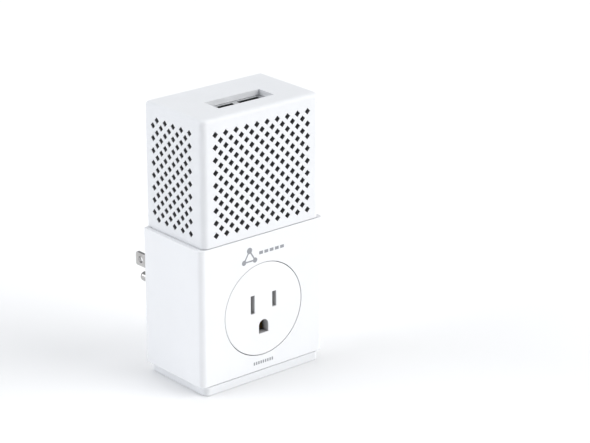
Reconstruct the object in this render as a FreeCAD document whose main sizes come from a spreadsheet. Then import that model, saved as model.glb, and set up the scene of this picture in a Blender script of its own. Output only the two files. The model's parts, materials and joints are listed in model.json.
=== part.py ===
# Pass-through powerline adapter: a wall plug with an outlet in front and two network jacks on top.
#
# Frame, in millimetres: +X is to the right seen from the front, +Y runs to the wall, +Z is up.
# The origin is the middle of the plinth's bottom.
import FreeCAD, Part
import os
import re

import Sketcher

VEC = FreeCAD.Vector
X_AXIS = VEC(1, 0, 0)
Y_AXIS = VEC(0, 1, 0)
Z_AXIS = VEC(0, 0, 1)

doc = FreeCAD.newDocument("powerline_adapter")

# ---------------------------------------------------------------- driving dimensions

SIZES = {
    # whole case
    "case_width": 72.0,
    "case_depth": 42.0,
    "case_height": 131.0,
    "base_height": 4.6,
    "sleeve_top": 71.0,
    "side_step": 2.4,
    "front_step": 0.4,
    "seam": 0.35,
    "play": 0.3,
    "sleeve_wall": 2.2,
    "cover_wall": 2.0,
    "cover_front_wall": 2.4,
    "rear_wall": 2.4,
    "upright_round": 2.8,
    "back_round": 1.2,
    "top_round": 1.9,
    "edge_round": 0.5,
    "tongue_depth": 5.4,
    "tongue_wall": 1.6,
    # grille of square holes standing on a corner
    "grille_pitch": 2.94,
    "grille_diagonal": 3.2,
    "grille_top": 123.5,
    "grille_columns": 19,
    "grille_rows": 9,
    "side_grille_columns": 10,
    "side_grille_front": -11.3,
    # recess in the top and the two network ports in its floor
    "recess_width": 31.6,
    "recess_front": -10.0,
    "recess_back": 0.7,
    "recess_depth": 2.7,
    "collar_wall": 1.6,
    "jack_width": 32.8,
    "jack_front": -12.6,
    "jack_height": 21.5,
    "port_width": 11.8,
    "port_front": -9.1,
    "port_back": -0.9,
    "port_depth": 14.0,
    "port_offset": 7.3,
    "latch_width": 6.0,
    "latch_depth": 1.6,
    "shield_wall": 0.3,
    "contact_pitch": 1.02,
    "contact_width": 0.35,
    "contact_length": 9.0,
    "contact_lean": 5.0,
    # outlet
    "outlet_height": 34.7,
    "outlet_radius": 22.7,
    "face_thickness": 3.4,
    "slot_spread": 12.7,
    "slot_rise": 3.3,
    "slot_width": 2.4,
    "neutral_slot": 9.0,
    "hot_slot": 7.6,
    "earth_drop": 11.9,
    "earth_width": 5.6,
    "earth_straight": 3.8,
    "block_width": 40.0,
    "block_low": 17.0,
    "block_high": 53.0,
    "block_back": -2.0,
    "pocket_back": -4.5,
    "pocket_width": 4.8,
    "pocket_height": 9.8,
    "earth_pocket": 8.4,
    "leaf": 0.6,
    "blade_gap": 1.6,
    "earth_gap": 5.0,
    "clip_height": 7.0,
    "clip_front": -16.0,
    # plug
    "plug_offset": -21.5,
    "plug_height": 49.5,
    "plug_width": 21.6,
    "plug_low": 32.2,
    "plug_high": 56.3,
    "plug_round": 4.0,
    "plug_flange": 1.2,
    "blade_width": 6.35,
    "blade_thickness": 1.5,
    "blade_length": 16.8,
    "blade_bevel": 1.1,
    "blade_hole": 1.6,
    "blade_hole_inset": 4.1,
    "pin_radius": 2.38,
    "pin_length": 20.8,
    "pin_root_radius": 2.1,
    # brass bars between outlet and plug
    "bar_width": 4.0,
    "bar_thickness": 0.8,
    "bar_plane": -0.4,
    "earth_bar_plane": 2.4,
    "hot_bar_height": 51.5,
    "link_width": 3.0,
    "link_top": 75.4,
    # boards
    "board": 1.6,
    "main_board_front": 1.4,
    "main_board_width": 48.0,
    "main_board_low": 62.0,
    "main_board_high": 127.0,
    "tab_left": 12.0,
    "tab_right": 29.0,
    "tab_low": 52.0,
    "power_board_front": 15.2,
    "power_board_width": 56.0,
    "power_board_low": 74.0,
    "power_board_high": 118.0,
    "power_post_x": 24.5,
    "power_post_low": 78.0,
    "power_post_high": 114.0,
    "main_post_x": 20.5,
    "main_post_height": 67.0,
    "post_radius": 2.4,
    "board_screw_hole": 1.15,
    # pairing key
    "key_y": -0.6,
    "key_height": 56.0,
    "key_length": 11.0,
    "key_width": 5.0,
    "key_gap": 0.1,
    "key_proud": 0.7,
    "flange_out": 33.5,
    "flange_in": 32.4,
    "flange_rim": 0.8,
    "stem_end": 29.7,
    "stem_radius": 1.5,
    "switch_face": 29.0,
    "switch_length": 3.6,
    "switch_width": 4.0,
    "switch_height": 6.0,
    "plunger_radius": 0.9,
    "plunger_end": 28.2,
    "plunger_bore": 27.3,
    # fasteners
    "screw_radius": 1.1,
    "screw_hole": 1.15,
    "head_radius": 2.2,
    "head_height": 1.1,
    "housing_screw_length": 9.0,
    "board_screw_length": 4.0,
    "top_screw_x": 27.4,
    "top_screw_height": 122.0,
    "low_screw_x": 29.4,
    "low_screw_height": 11.2,
    "boss_radius": 3.0,
    "boss_back": 18.2,
    # back and bottom details
    "louvre_width": 34.0,
    "louvre_height": 1.6,
    "louvre_pitch": 3.6,
    "louvre_count": 9,
    "louvre_low": 82.0,
    "label_left": -4.0,
    "label_right": 29.0,
    "label_low": 18.0,
    "label_high": 60.0,
    "label_sink": 0.3,
    "tray_floor": 2.0,
    "tray_height": 7.0,
    "tray_slot": 1.6,
    "tray_slot_pitch": 4.0,
    "tray_slot_count": 9,
    "liner_side": 31.2,
    "liner_front": -16.6,
    "liner_thickness": 0.4,
    "liner_low": 73.4,
    "liner_high": 127.4,
    "window_half": 7.0,
    "window_low": 74.5,
    "window_high": 78.5,
    # small clearances and how far cuts and joined blocks run past each other
    "past": 1.0,
    "overlap": 0.5,
    "slack": 0.15,
    "hair": 0.1,
    "boss_play": 0.2,
    # smaller sizes of the moulded parts
    "tray_wall": 2.0,
    "tray_slot_reach": 10.0,
    "tongue_root": 1.5,
    "screw_block_half": 2.7,
    "screw_block_drop": 3.4,
    "screw_block_depth": 8.2,
    "screw_hole_depth": 7.5,
    "head_play": 0.3,
    "label_gap": 0.05,
    "earth_rise": 0.5,
    "face_rim": 0.25,
    "block_round": 2.0,
    "tail_half": 1.5,
    "clip_web": 0.7,
    "plug_sink": 0.3,
    "plug_rim": 0.3,
    "flange_depth": 3.0,
    "blade_side_bevel": 0.45,
    "pin_tip_share": 0.8,
    "pin_neck": 0.1,
    "shield_skirt": 1.0,
    "contact_rise": 1.5,
    "tab_side_gap": 0.4,
    "key_rim": 0.4,
    "plunger_play": 0.06,
    "bore_length": 3.0,
    "cross_half": 1.3,
    "cross_half_width": 0.25,
    "cross_sink": 0.6,
    # parts on the boards that are not plain boxes
    "chip_gap": 1.4,
    "sink_plate": 1.8,
    "sink_reach": 9.0,
    "fin": 1.2,
    "fin_pitch": 4.16,
    "fin_count": 6,
    "led_half": 0.8,
    "led_height": 0.7,
    "led_low": 75.5,
    "led_high": 77.5,
    "led_pitch": 4.5,
    "guide_front": -17.6,
    "guide_gap": 0.9,
    "groove_start": 3.0,
    "groove_end": 5.4,
    "core_gap": 0.5,
    "choke_radius": 4.2,
    "choke_wire": 2.1,
    "choke_place": -17.0,
    "choke_gap": 2.2,
    "choke_height": 84.0,
}

# Boxes on the boards: left, right, low, high and, where it is plain, how far it stands off the board.
BOARD_BOXES = {
    "powerline_chip": (-17.0, -3.0, 82.0, 96.0, 1.4),
    "ethernet_chip": (6.0, 15.0, 84.0, 93.0, 1.0),
    "memory_chip": (6.0, 16.0, 96.0, 102.0, 1.2),
    "crystal": (17.5, 20.7, 86.0, 91.0, 1.1),
    "ethernet_magnetics": (-17.0, -3.0, 65.5, 73.5, 5.0),
    "heat_sink": (-21.0, 1.0, 78.0, 100.0),
    "light_guide": (-6.0, 6.0, 75.3, 77.7),
    "coupling_can": (-18.0, -6.0, 108.0, 119.0, 8.0),
    "coupling_groove": (-19.0, -5.0, 112.5, 114.5),
    "core_block": (-18.0, -4.0, 92.0, 106.0, 11.0),
    "core_window": (-15.5, -6.5, 95.0, 103.0),
    "flyback_winding": (-15.4, -6.6, 95.1, 102.9, 10.0),
    "x_capacitor": (2.0, 14.0, 92.0, 97.0, 9.0),
    "rectifier": (20.0, 25.0, 88.0, 96.0, 2.4),
}

# Round parts on the power board: radius, length, place across, gap to the board and height.
BOARD_RODS = {
    "bulk_capacitor": (4.8, 17.0, 0.0, 5.0, 84.0),
    "output_capacitor": (3.2, 10.0, 20.0, 3.4, 102.0),
    "fuse": (1.8, 9.0, -8.0, 2.0, 78.0),
    "varistor": (4.2, 3.2, 8.0, 4.4, 102.0),
}

for label, values in BOARD_BOXES.items():
    SIZES.update(zip((f"{label}_{side}" for side in ("left", "right", "low", "high", "proud")), values))
for label, values in BOARD_RODS.items():
    SIZES.update(zip((f"{label}_{side}" for side in ("radius", "length", "place", "gap", "height")), values))

sheet = doc.addObject("Spreadsheet::Sheet", "Sizes")
for row, (alias, value) in enumerate(SIZES.items(), start=1):
    sheet.set(f"A{row}", alias)
    sheet.set(f"B{row}", repr(value))
    sheet.setAlias(f"B{row}", alias)
doc.recompute()

WORD = re.compile(r"[a-z][a-z_0-9]*")


def rule(text):
    """Turn 'case_width / 2' into an expression that reads the sheet."""
    return WORD.sub(lambda word: "Sizes." + word.group() if word.group() in SIZES else word.group(), str(text))


def bind(item, prop, text):
    item.setExpression(prop, rule(text))


# ---------------------------------------------------------------- sketches and features

SIDE_OF_PLANE = {"XY_Plane": 1, "XZ_Plane": -1, "YZ_Plane": 1}


def new_body(label):
    body = doc.addObject("PartDesign::Body", label)
    body.Label = label
    return body


def new_sketch(body, name, plane, height):
    """A sketch on one of the body's origin planes, moved to a height along the world axis."""
    sketch = body.newObject("Sketcher::SketchObject", name)
    base = next(item for item in body.Origin.OriginFeatures if item.Role == plane)
    sketch.AttachmentSupport = [(base, "")]
    sketch.MapMode = "FlatFace"
    sign = "" if SIDE_OF_PLANE[plane] > 0 else "-"
    bind(sketch, "AttachmentOffset.Base.z", f"{sign}({height})")
    return sketch


def hold(sketch, kind, places, text, start):
    """Add one driving dimension whose value comes from the sheet."""
    index = sketch.addConstraint(Sketcher.Constraint(kind, *places, start))
    bind(sketch, f"Constraints[{index}]", text)


def value_of(text):
    """A rule worked out now: a sketch's first guess, or where to look for an edge."""
    return float(sheet.evalExpression(rule(text)))


def hold_point(sketch, geometry, point, across, up):
    hold(sketch, "DistanceX", (-1, 1, geometry, point), across, value_of(across))
    hold(sketch, "DistanceY", (-1, 1, geometry, point), up, value_of(up))


def polygon(*corners):
    """An outline through corners given as (across, up) rules."""
    def draw(sketch):
        points = [VEC(value_of(across), value_of(up), 0) for across, up in corners]
        first = sketch.GeometryCount
        for index, point in enumerate(points):
            sketch.addGeometry(Part.LineSegment(point, points[(index + 1) % len(points)]))
        for index in range(len(points)):
            following = first + (index + 1) % len(points)
            sketch.addConstraint(Sketcher.Constraint("Coincident", first + index, 2, following, 1))
        for index, (across, up) in enumerate(corners):
            hold_point(sketch, first + index, 1, across, up)
    return draw


def rectangle(left, right, low, high):
    return polygon((left, low), (right, low), (right, high), (left, high))


def circle(across, up, radius):
    def draw(sketch):
        centre = VEC(value_of(across), value_of(up), 0)
        index = sketch.addGeometry(Part.Circle(centre, Z_AXIS, value_of(radius)))
        hold_point(sketch, index, 3, across, up)
        hold(sketch, "Radius", (index,), radius, value_of(radius))
    return draw


def diamond(across, up, diagonal):
    half = f"({diagonal}) / 2"
    return polygon(
        (f"{across} - {half}", up),
        (across, f"{up} - {half}"),
        (f"{across} + {half}", up),
        (across, f"{up} + {half}"),
    )


def capsule(across, up, length, width):
    """A slot with round ends, lying along the sketch's first axis."""
    def draw(sketch):
        centre_x, centre_y = value_of(across), value_of(up)
        radius = value_of(width) / 2
        reach = value_of(length) / 2 - radius
        right_low = VEC(centre_x + reach, centre_y - radius, 0)
        right_high = VEC(centre_x + reach, centre_y + radius, 0)
        left_low = VEC(centre_x - reach, centre_y - radius, 0)
        left_high = VEC(centre_x - reach, centre_y + radius, 0)
        first = sketch.GeometryCount
        sketch.addGeometry(Part.LineSegment(left_low, right_low))
        sketch.addGeometry(Part.Arc(right_low, VEC(centre_x + reach + radius, centre_y, 0), right_high))
        sketch.addGeometry(Part.LineSegment(right_high, left_high))
        sketch.addGeometry(Part.Arc(left_high, VEC(centre_x - reach - radius, centre_y, 0), left_low))
        for index, near, following, far in ((0, 2, 1, 1), (1, 2, 2, 1), (2, 2, 3, 1), (3, 2, 0, 1)):
            sketch.addConstraint(Sketcher.Constraint("Tangent", first + index, near, first + following, far))
        hold_point(sketch, first + 1, 3, f"{across} + ({length} - ({width})) / 2", up)
        hold_point(sketch, first + 3, 3, f"{across} - ({length} - ({width})) / 2", up)
        hold(sketch, "Radius", (first + 1,), f"({width}) / 2", radius)
    return draw


def arch(across, up, width, straight):
    """A hole with a flat bottom and a round top; up is the centre of the round."""
    def draw(sketch):
        centre_x, centre_y = value_of(across), value_of(up)
        radius = value_of(width) / 2
        foot = centre_y - value_of(straight)
        corners = [VEC(centre_x - radius, centre_y, 0), VEC(centre_x - radius, foot, 0),
                   VEC(centre_x + radius, foot, 0), VEC(centre_x + radius, centre_y, 0)]
        first = sketch.GeometryCount
        for start, end in zip(corners, corners[1:]):
            sketch.addGeometry(Part.LineSegment(start, end))
        sketch.addGeometry(Part.Arc(corners[3], VEC(centre_x, centre_y + radius, 0), corners[0]))
        for index, following in ((0, 1), (1, 2)):
            sketch.addConstraint(Sketcher.Constraint("Coincident", first + index, 2, first + following, 1))
        sketch.addConstraint(Sketcher.Constraint("Tangent", first + 2, 2, first + 3, 1))
        sketch.addConstraint(Sketcher.Constraint("Tangent", first + 3, 2, first, 1))
        hold_point(sketch, first + 3, 3, across, up)
        hold(sketch, "Radius", (first + 3,), f"({width}) / 2", radius)
        sketch.addConstraint(Sketcher.Constraint("Vertical", first))
        sketch.addConstraint(Sketcher.Constraint("Horizontal", first + 1))
        hold(sketch, "DistanceY", (-1, 1, first, 2), f"{up} - ({straight})", foot)
    return draw


def add(body, name, plane, low, high, *outlines):
    """Material between two heights along the plane's world axis."""
    sketch = new_sketch(body, name + "_sketch", plane, low)
    for outline in outlines:
        outline(sketch)
    pad = body.newObject("PartDesign::Pad", name)
    pad.Profile = sketch
    pad.Reversed = SIDE_OF_PLANE[plane] < 0
    bind(pad, "Length", f"({high}) - ({low})")
    return pad


def cut(body, name, plane, low, high, *outlines):
    """A pocket between two heights along the plane's world axis."""
    sketch = new_sketch(body, name + "_sketch", plane, low)
    for outline in outlines:
        outline(sketch)
    pocket = body.newObject("PartDesign::Pocket", name)
    pocket.Profile = sketch
    pocket.Reversed = SIDE_OF_PLANE[plane] > 0
    bind(pocket, "Length", f"({high}) - ({low})")
    return pocket


def repeat(body, feature, across, across_count, up=None, up_count=None):
    """Repeat a feature along its sketch's first axis and, if given, its second one."""
    pattern = body.newObject("PartDesign::LinearPattern", feature.Name + "_pattern")
    pattern.Originals = [feature]
    sketch = feature.Profile[0]
    pattern.Direction = (sketch, ["H_Axis"])
    pattern.Mode = "Spacing"
    bind(pattern, "Offset", across)
    bind(pattern, "Occurrences", across_count)
    if up is not None:
        pattern.Direction2 = (sketch, ["V_Axis"])
        pattern.Reversed2 = True
        pattern.Mode2 = "Spacing"
        bind(pattern, "Offset2", up)
        # The second direction makes one copy fewer than its count.
        bind(pattern, "Occurrences2", f"({up_count}) + 1")
    body.Tip = pattern
    return pattern


def edge_names(feature, wanted):
    return [f"Edge{index}" for index, edge in enumerate(feature.Shape.Edges, start=1) if wanted(edge)]


def round_edges(body, name, radius, wanted):
    """Fillet the edges of the body's newest feature that the test picks."""
    doc.recompute()
    base = body.Tip
    fillet = body.newObject("PartDesign::Fillet", name)
    fillet.Base = (base, edge_names(base, wanted))
    bind(fillet, "Radius", radius)
    doc.recompute()
    return fillet


def bevel_edges(body, name, size, wanted):
    doc.recompute()
    base = body.Tip
    chamfer = body.newObject("PartDesign::Chamfer", name)
    chamfer.Base = (base, edge_names(base, wanted))
    bind(chamfer, "Size", size)
    doc.recompute()
    return chamfer


def runs_along(edge, axis):
    """True for a straight edge parallel to the axis."""
    ends = [vertex.Point for vertex in edge.Vertexes]
    if len(ends) != 2:
        return False
    way = ends[1] - ends[0]
    return way.Length > 0.01 and way.cross(axis).Length < 1e-6 * way.Length


def middle(edge):
    return edge.BoundBox.Center


def near(value, target):
    return abs(value - target) < 0.05


# ---------------------------------------------------------------- plain primitives

def set_place(item, across, deep, up):
    bind(item, "Placement.Base.x", across)
    bind(item, "Placement.Base.y", deep)
    bind(item, "Placement.Base.z", up)


def box(label, left, right, front, back, low, high):
    item = doc.addObject("Part::Box", label)
    item.Label = label
    bind(item, "Length", f"({right}) - ({left})")
    bind(item, "Width", f"({back}) - ({front})")
    bind(item, "Height", f"({high}) - ({low})")
    set_place(item, left, front, low)
    return item


TURN_TO = {
    "X": FreeCAD.Rotation(Z_AXIS, X_AXIS),
    "Y": FreeCAD.Rotation(Z_AXIS, Y_AXIS),
    "Z": FreeCAD.Rotation(),
}


def rod(label, axis, radius, length, across, deep, up):
    item = doc.addObject("Part::Cylinder", label)
    item.Label = label
    item.Placement.Rotation = TURN_TO[axis]
    bind(item, "Radius", radius)
    bind(item, "Height", length)
    set_place(item, across, deep, up)
    return item


def fuse(label, *shapes):
    item = doc.addObject("Part::MultiFuse", label)
    item.Label = label
    item.Shapes = list(shapes)
    item.Refine = True
    return item


def carve(label, base, *tools):
    """Base less the tools."""
    item = doc.addObject("Part::Cut", label)
    item.Label = label
    item.Base = base
    item.Tool = tools[0] if len(tools) == 1 else fuse(label + "_tools", *tools)
    return item


def group(label, *shapes):
    """Separate solids of the same kind in one node."""
    item = doc.addObject("Part::Compound", label)
    item.Label = label
    item.Links = list(shapes)
    return item


NODES = {}


def keep(item):
    NODES[item.Label] = item
    return item


HALF_WIDTH = "case_width / 2"
FRONT = "-case_depth / 2"
BACK = "case_depth / 2"
INNER_HALF = "case_width / 2 - side_step"
SLEEVE_INSIDE = "case_width / 2 - sleeve_wall"
COVER_LOW = "sleeve_top + seam"
COVER_FRONT = "front_step - case_depth / 2"
REAR_FRONT = "case_depth / 2 - rear_wall"
SLOT_HEIGHT = "outlet_height + slot_rise"
EARTH_HEIGHT = "outlet_height + slot_rise - earth_drop"
PIN_HEIGHT = "plug_height - earth_drop"
LOW_SCREWS = ("-low_screw_x", "low_screw_x")
TOP_SCREWS = ("-top_screw_x", "top_screw_x")


# ---------------------------------------------------------------- case

def front_sleeve():
    body = new_body("front_sleeve")
    add(body, "sleeve_block", "XY_Plane", "base_height", "sleeve_top",
        rectangle(f"-{HALF_WIDTH}", HALF_WIDTH, FRONT, BACK))
    front = value_of(FRONT)
    back = value_of(BACK)
    round_edges(body, "front_uprights", "upright_round",
                lambda edge: runs_along(edge, Z_AXIS) and near(middle(edge).y, front))
    round_edges(body, "back_uprights", "back_round",
                lambda edge: runs_along(edge, Z_AXIS) and near(middle(edge).y, back))
    rims = (value_of("base_height"), value_of("sleeve_top"))
    round_edges(body, "rims", "edge_round",
                lambda edge: any(near(edge.BoundBox.ZMin, rim) and near(edge.BoundBox.ZMax, rim) for rim in rims)
                and not (runs_along(edge, X_AXIS) and near(middle(edge).y, back)))
    cut(body, "sleeve_cavity", "XY_Plane", "base_height - past", "sleeve_top + past",
        rectangle(f"-({SLEEVE_INSIDE})", SLEEVE_INSIDE, f"{FRONT} + sleeve_wall", f"{BACK} + past"))
    cut(body, "outlet_hole", "XZ_Plane", f"{FRONT} - past", f"{FRONT} + sleeve_wall + past",
        circle("0", "outlet_height", "outlet_radius"))
    cut(body, "key_hole", "YZ_Plane", f"{SLEEVE_INSIDE} - past", f"{HALF_WIDTH} + past",
        capsule("key_y", "key_height", "key_length + 2 * key_gap", "key_width + 2 * key_gap"))
    for side, place in zip(("left", "right"), LOW_SCREWS):
        add(body, side + "_boss", "XZ_Plane", f"{FRONT} + sleeve_wall - overlap", "boss_back",
            circle(place, "low_screw_height", "boss_radius"))
        cut(body, side + "_boss_hole", "XZ_Plane", "boss_back - housing_screw_length", "boss_back + past",
            circle(place, "low_screw_height", "screw_hole"))
    return keep(body)


def base_plinth():
    body = new_body("base_plinth")
    add(body, "plinth_block", "XY_Plane", "0", "base_height - seam",
        rectangle(f"-({INNER_HALF})", INNER_HALF, COVER_FRONT, f"{BACK} - front_step"))
    round_edges(body, "plinth_uprights", "upright_round", lambda edge: runs_along(edge, Z_AXIS))
    round_edges(body, "plinth_foot", "edge_round", lambda edge: near(edge.BoundBox.ZMax, 0))
    tongue_half = f"{SLEEVE_INSIDE} - play"
    add(body, "plinth_tongue", "XY_Plane", "base_height - seam - past", "tray_height",
        rectangle(f"-({tongue_half})", tongue_half, f"{FRONT} + sleeve_wall + play", "boss_back"))
    cut(body, "plinth_tray", "XY_Plane", "tray_floor", "tray_height + past",
        rectangle(f"-({tongue_half} - tray_wall)", f"{tongue_half} - tray_wall",
                  f"{FRONT} + sleeve_wall + play + tray_wall", "boss_back - tray_wall"))
    slot = cut(body, "air_slot", "XY_Plane", "-past", "tray_floor + past",
               rectangle("-(tray_slot_count - 1) / 2 * tray_slot_pitch - tray_slot / 2",
                         "-(tray_slot_count - 1) / 2 * tray_slot_pitch + tray_slot / 2",
                         "-tray_slot_reach", "tray_slot_reach"))
    repeat(body, slot, "tray_slot_pitch", "tray_slot_count")
    return keep(body)


def grille(body, name, plane, low, high, first, columns):
    """Two interleaved fields of square holes standing on a corner."""
    fields = (
        ("long", first, "grille_top", f"ceil(({columns}) / 2)", "grille_rows"),
        ("short", f"{first} + grille_pitch", "grille_top - grille_pitch", f"floor(({columns}) / 2)",
         "grille_rows - 1"),
    )
    for field, across, up, across_count, up_count in fields:
        hole = cut(body, f"{name}_{field}", plane, low, high, diamond(across, up, "grille_diagonal"))
        repeat(body, hole, "2 * grille_pitch", across_count, "2 * grille_pitch", up_count)


def vent_cover():
    body = new_body("vent_cover")
    add(body, "cover_block", "XY_Plane", COVER_LOW, "case_height",
        rectangle(f"-({INNER_HALF})", INNER_HALF, COVER_FRONT, BACK))
    front = value_of(COVER_FRONT)
    back = value_of(BACK)
    top = value_of("case_height")
    round_edges(body, "cover_front_uprights", "upright_round",
                lambda edge: runs_along(edge, Z_AXIS) and near(middle(edge).y, front))
    round_edges(body, "cover_back_uprights", "back_round",
                lambda edge: runs_along(edge, Z_AXIS) and near(middle(edge).y, back))
    round_edges(body, "cover_top_edges", "top_round", lambda edge: near(edge.BoundBox.ZMin, top))
    inside = f"{INNER_HALF} - cover_wall"
    cut(body, "cover_cavity", "XY_Plane", f"{COVER_LOW} - past", "case_height - cover_wall",
        rectangle(f"-({inside})", inside, f"{COVER_FRONT} + cover_front_wall", f"{BACK} + past"))
    outer = f"{SLEEVE_INSIDE} - play"
    inner = f"{outer} - tongue_wall"
    tongue_front = f"{FRONT} + sleeve_wall + play"
    add(body, "cover_tongue", "XY_Plane", "sleeve_top - tongue_depth", f"{COVER_LOW} + tongue_root",
        polygon((f"-({outer})", tongue_front), (outer, tongue_front), (outer, "boss_back - boss_play"),
                (inner, "boss_back - boss_play"), (inner, f"{tongue_front} + tongue_wall"),
                (f"-({inner})", f"{tongue_front} + tongue_wall"), (f"-({inner})", "boss_back - boss_play"),
                (f"-({outer})", "boss_back - boss_play")))
    collar = "recess_width / 2 + collar_wall"
    add(body, "recess_collar", "XY_Plane", "case_height - recess_depth + hair",
        "case_height - cover_wall + overlap",
        rectangle(f"-({collar})", collar, "recess_front - collar_wall", "recess_back + collar_wall"))
    for side, place in zip(("left", "right"), TOP_SCREWS):
        add(body, side + "_screw_block", "XY_Plane", "top_screw_height - screw_block_drop",
            "case_height - cover_wall + overlap",
            rectangle(f"{place} - screw_block_half", f"{place} + screw_block_half",
                      "boss_back - screw_block_depth", "boss_back"))
        cut(body, side + "_screw_hole", "XZ_Plane", "boss_back - screw_hole_depth", "boss_back + past",
            circle(place, "top_screw_height", "screw_hole"))
    cut(body, "recess_opening", "XY_Plane", "case_height - recess_depth - past", "case_height + past",
        rectangle("-recess_width / 2", "recess_width / 2", "recess_front", "recess_back"))
    grille(body, "front_grille", "XZ_Plane", f"{COVER_FRONT} - past",
           f"{COVER_FRONT} + cover_front_wall + boss_play",
           "-(grille_columns - 1) / 2 * grille_pitch", "grille_columns")
    grille(body, "left_grille", "YZ_Plane", f"-({INNER_HALF}) - past", f"-({inside}) + boss_play",
           "side_grille_front", "side_grille_columns")
    grille(body, "right_grille", "YZ_Plane", f"{inside} - boss_play", f"{INNER_HALF} + past",
           "side_grille_front", "side_grille_columns")
    return keep(body)


def rear_cover():
    body = new_body("rear_cover")
    low_half = f"{SLEEVE_INSIDE} - play"
    high_half = f"{INNER_HALF} - cover_wall - play"
    shoulder = "sleeve_top + seam / 2"
    top = "case_height - cover_wall - play"
    add(body, "rear_plate", "XZ_Plane", REAR_FRONT, BACK,
        polygon((f"-({low_half})", "base_height"), (low_half, "base_height"), (low_half, shoulder),
                (high_half, shoulder), (high_half, top), (f"-({high_half})", top),
                (f"-({high_half})", shoulder), (f"-({low_half})", shoulder)))
    posts = [("power", "power_board_front + board", place, height)
             for place in ("-power_post_x", "power_post_x")
             for height in ("power_post_low", "power_post_high")]
    posts += [("main", "main_board_front + board", place, "main_post_height")
              for place in ("-main_post_x", "main_post_x")]
    for index, (kind, tip, place, height) in enumerate(posts):
        add(body, f"{kind}_post_{index}", "XZ_Plane", tip, f"{REAR_FRONT} + overlap",
            circle(place, height, "post_radius"))
        cut(body, f"{kind}_post_hole_{index}", "XZ_Plane", f"{tip} - past", f"{tip} + board_screw_length",
            circle(place, height, "board_screw_hole"))
    cut(body, "plug_opening", "XZ_Plane", f"{REAR_FRONT} - past", f"{BACK} + past",
        rectangle("plug_offset - plug_width / 2 - slack", "plug_offset + plug_width / 2 + slack",
                  "plug_low - slack", "plug_high + slack"))
    reach = value_of("plug_width / 2 + slack")
    centre = value_of("plug_offset")
    low, high = value_of("plug_low - slack"), value_of("plug_high + slack")
    round_edges(body, "opening_corners", "plug_round + slack",
                lambda edge: runs_along(edge, Y_AXIS) and near(abs(middle(edge).x - centre), reach)
                and (near(middle(edge).z, low) or near(middle(edge).z, high)))
    places = [(place, "low_screw_height") for place in LOW_SCREWS]
    places += [(place, "top_screw_height") for place in TOP_SCREWS]
    for index, (place, height) in enumerate(places):
        cut(body, f"screw_hole_{index}", "XZ_Plane", f"{REAR_FRONT} - past", f"{BACK} + past",
            circle(place, height, "screw_radius + head_play"))
        cut(body, f"counterbore_{index}", "XZ_Plane", f"{BACK} - head_height - boss_play", f"{BACK} + past",
            circle(place, height, "head_radius + head_play"))
    louvre = cut(body, "louvre", "XZ_Plane", f"{REAR_FRONT} - past", f"{BACK} + past",
                 capsule("0", "louvre_low", "louvre_width", "louvre_height"))
    pattern = body.newObject("PartDesign::LinearPattern", "louvre_pattern")
    pattern.Originals = [louvre]
    pattern.Direction = (louvre.Profile[0], ["V_Axis"])
    pattern.Mode = "Spacing"
    bind(pattern, "Offset", "louvre_pitch")
    bind(pattern, "Occurrences", "louvre_count")
    body.Tip = pattern
    cut(body, "label_sink", "XZ_Plane", f"{BACK} - label_sink", f"{BACK} + past",
        rectangle("label_left - slack", "label_right + slack", "label_low - slack", "label_high + slack"))
    return keep(body)


def rating_label():
    return keep(box("rating_label", "label_left", "label_right", f"{BACK} - label_sink", f"{BACK} - label_gap",
                    "label_low", "label_high"))


def insulating_liner():
    """A dark sheet folded round three sides just inside the grille, with a window for the light guide."""
    body = new_body("insulating_liner")
    inner = "liner_side - liner_thickness"
    add(body, "liner_sheet", "XY_Plane", "liner_low", "liner_high",
        polygon(("-liner_side", "liner_front"), ("liner_side", "liner_front"), ("liner_side", "boss_back"),
                (inner, "boss_back"), (inner, "liner_front + liner_thickness"),
                (f"-({inner})", "liner_front + liner_thickness"), (f"-({inner})", "boss_back"),
                ("-liner_side", "boss_back")))
    cut(body, "guide_window", "XZ_Plane", "liner_front - past", "liner_front + liner_thickness + past",
        rectangle("-window_half", "window_half", "window_low", "window_high"))
    return keep(body)


# ---------------------------------------------------------------- outlet

def outlet_slots():
    """The outlet's three openings: blade slots above, round-topped earth hole below."""
    half = "slot_width / 2"
    slots = []
    for place, tall in (("-slot_spread / 2", "neutral_slot"), ("slot_spread / 2", "hot_slot")):
        slots.append(rectangle(f"{place} - {half}", f"{place} + {half}",
                               f"{SLOT_HEIGHT} - {tall} / 2", f"{SLOT_HEIGHT} + {tall} / 2"))
    slots.append(arch("0", f"{EARTH_HEIGHT} + earth_rise", "earth_width", "earth_straight"))
    return slots


def receptacle_face():
    body = new_body("receptacle_face")
    add(body, "face_disc", "XZ_Plane", FRONT, f"{FRONT} + face_thickness",
        circle("0", "outlet_height", "outlet_radius - seam"))
    front = value_of(FRONT)
    round_edges(body, "face_edge", "face_rim", lambda edge: near(edge.BoundBox.YMax, front))
    cut(body, "face_slots", "XZ_Plane", f"{FRONT} - past", f"{FRONT} + face_thickness + past", *outlet_slots())
    return keep(body)


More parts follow.
